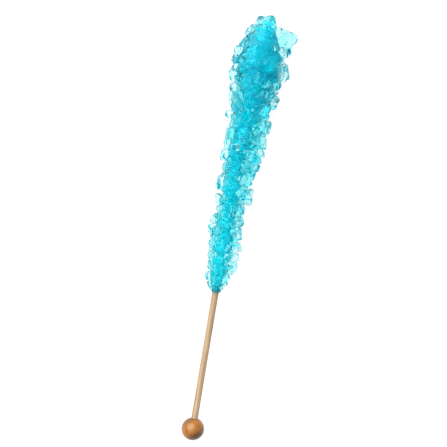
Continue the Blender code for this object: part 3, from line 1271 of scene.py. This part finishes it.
class ROCKCANDY_OT_ball(bpy.types.Operator):
    """Models the turned ball with the hole that takes the dowel"""

    bl_idname = "rock_candy.ball"
    bl_label = "Turned ball"

    def execute(self, context):
        sizes = context.scene.rock_candy_sizes
        radius = sizes.ball_diameter / 2
        bpy.ops.object.select_all(action="DESELECT")
        bpy.ops.mesh.primitive_uv_sphere_add(
            segments=BALL_SEGMENTS,
            ring_count=BALL_RINGS,
            radius=radius,
            rotation=(-math.pi / 2, 0.0, 0.0),
        )
        ball = added("turned_ball")
        apply_place(ball)
        bpy.ops.object.select_all(action="DESELECT")
        bpy.ops.mesh.primitive_cylinder_add(
            vertices=STICK_SIDES,
            radius=sizes.stick_diameter / 2 + HOLE_CLEARANCE,
            depth=2 * radius,
            location=(0.0, 2 * radius - BALL_HOLE_DEPTH, 0.0),
            rotation=(-math.pi / 2, DRILL_TURN, 0.0),
        )
        drill = added("drill")
        hole = ball.modifiers.new("hole", "BOOLEAN")
        hole.operation = "DIFFERENCE"
        hole.object = drill
        apply_modifiers(ball)
        bpy.data.objects.remove(drill)
        bpy.ops.object.shade_smooth_by_angle(angle=BALL_CREASE)
        lay_down(ball)
        finish(ball, beech(context.scene.rock_candy_colours), "stained_beech", "ball")
        return {"FINISHED"}


# The stage


def light_dome(scene):
    """Soft studio light from all round, brightest at the upper left, dimmer near the horizon."""
    world = bpy.data.worlds.new("studio_dome")
    scene.world = world
    world.use_nodes = True
    tree = world.node_tree
    tree.nodes.clear()
    direction = add(tree, "ShaderNodeTexCoord").outputs["Generated"]
    towards_key = add(
        tree, "ShaderNodeVectorMath", {0: direction, 1: KEY_DIRECTION}, operation="DOT_PRODUCT"
    )
    key = add(
        tree,
        "ShaderNodeMapRange",
        {
            "Value": towards_key.outputs["Value"],
            "From Min": math.cos(KEY_EDGE),
            "From Max": math.cos(KEY_CORE),
            "To Min": 0.0,
            "To Max": KEY_STRENGTH,
        },
        interpolation_type="SMOOTHSTEP",
    )
    towards_sky = add(
        tree, "ShaderNodeVectorMath", {0: direction, 1: SKY_DIRECTION}, operation="DOT_PRODUCT"
    )
    sky = add(
        tree,
        "ShaderNodeMapRange",
        {
            "Value": towards_sky.outputs["Value"],
            "From Min": SKY_DIMMEST_AT,
            "From Max": 1.0,
            "To Min": SKY_STRENGTHS[0],
            "To Max": SKY_STRENGTHS[1],
        },
        interpolation_type="SMOOTHSTEP",
    )
    strength = add(
        tree, "ShaderNodeMath", {0: key.outputs["Result"], 1: sky.outputs["Result"]}, operation="ADD"
    )
    light = add(
        tree,
        "ShaderNodeBackground",
        {"Color": (1.0, 1.0, 1.0, 1.0), "Strength": strength.outputs["Value"]},
    )
    output = add(tree, "ShaderNodeOutputWorld")
    tree.links.new(light.outputs["Background"], output.inputs["Surface"])


def light_table():
    """White acrylic lit a little from below, so that clear sugar stays bright against it."""
    made, output = new_material("white_acrylic")
    shader = add(
        made.node_tree,
        "ShaderNodeBsdfPrincipled",
        {
            "Base Color": (*linear(FLOOR_GREY), 1.0),
            "Roughness": 0.6,
            "Emission Color": (1.0, 1.0, 1.0, 1.0),
            "Emission Strength": FLOOR_GLOW,
        },
    )
    made.node_tree.links.new(shader.outputs["BSDF"], output.inputs["Surface"])
    return made


class ROCKCANDY_OT_stage(bpy.types.Operator):
    """Sets up the white floor, the soft light and the camera straight above"""

    bl_idname = "rock_candy.stage"
    bl_label = "Stage"

    def execute(self, context):
        bpy.ops.object.select_all(action="DESELECT")
        bpy.ops.mesh.primitive_plane_add(size=FLOOR_SIZE, location=(0.0, 0.0, -FLOOR_DROP))
        floor = added("floor")
        floor.data.materials.append(light_table())
        light_dome(context.scene)
        aim = LYING @ Vector((VIEW_ACROSS, VIEW_ALONG, 0.0))
        distance = VIEW_WIDTH / 2 * LENS / (SENSOR / 2)
        bpy.ops.object.camera_add(
            location=aim + Vector((0.0, 0.0, distance)), rotation=(0.0, 0.0, VIEW_TURN)
        )
        camera = bpy.context.object
        camera.name = "camera"
        camera.data.lens = LENS
        camera.data.sensor_width = SENSOR
        camera.data.clip_start = 10 * MM
        context.scene.camera = camera
        context.scene.view_settings.view_transform = "Standard"
        return {"FINISHED"}


class ROCKCANDY_PT_panel(bpy.types.Panel):
    """Lists the sizes, the colours and the pieces of the rock candy stick"""

    bl_label = "Rock Candy Stick"
    bl_idname = "ROCKCANDY_PT_panel"
    bl_space_type = "VIEW_3D"
    bl_region_type = "UI"
    bl_category = "Rock Candy"

    def draw(self, context):
        for group in (context.scene.rock_candy_sizes, context.scene.rock_candy_colours):
            box = self.layout.box()
            for name in group.__annotations__:
                box.prop(group, name)
        for operator in OPERATORS:
            self.layout.operator(operator.bl_idname)


OPERATORS = (
    ROCKCANDY_OT_stage,
    ROCKCANDY_OT_dowel,
    ROCKCANDY_OT_ball,
    ROCKCANDY_OT_heart,
    ROCKCANDY_OT_crystals,
)
CLASSES = (RockCandySizes, RockCandyColours, *OPERATORS, ROCKCANDY_PT_panel)


def register():
    for kind in CLASSES:
        bpy.utils.register_class(kind)
    bpy.types.Scene.rock_candy_sizes = bpy.props.PointerProperty(type=RockCandySizes)
    bpy.types.Scene.rock_candy_colours = bpy.props.PointerProperty(type=RockCandyColours)


def unregister():
    del bpy.types.Scene.rock_candy_colours
    del bpy.types.Scene.rock_candy_sizes
    for kind in reversed(CLASSES):
        bpy.utils.unregister_class(kind)


def main():
    register()
    bpy.ops.rock_candy.stage()
    bpy.ops.rock_candy.dowel()
    bpy.ops.rock_candy.ball()
    bpy.ops.rock_candy.heart()
    bpy.ops.rock_candy.crystals()


if __name__ == "__main__":
    main()
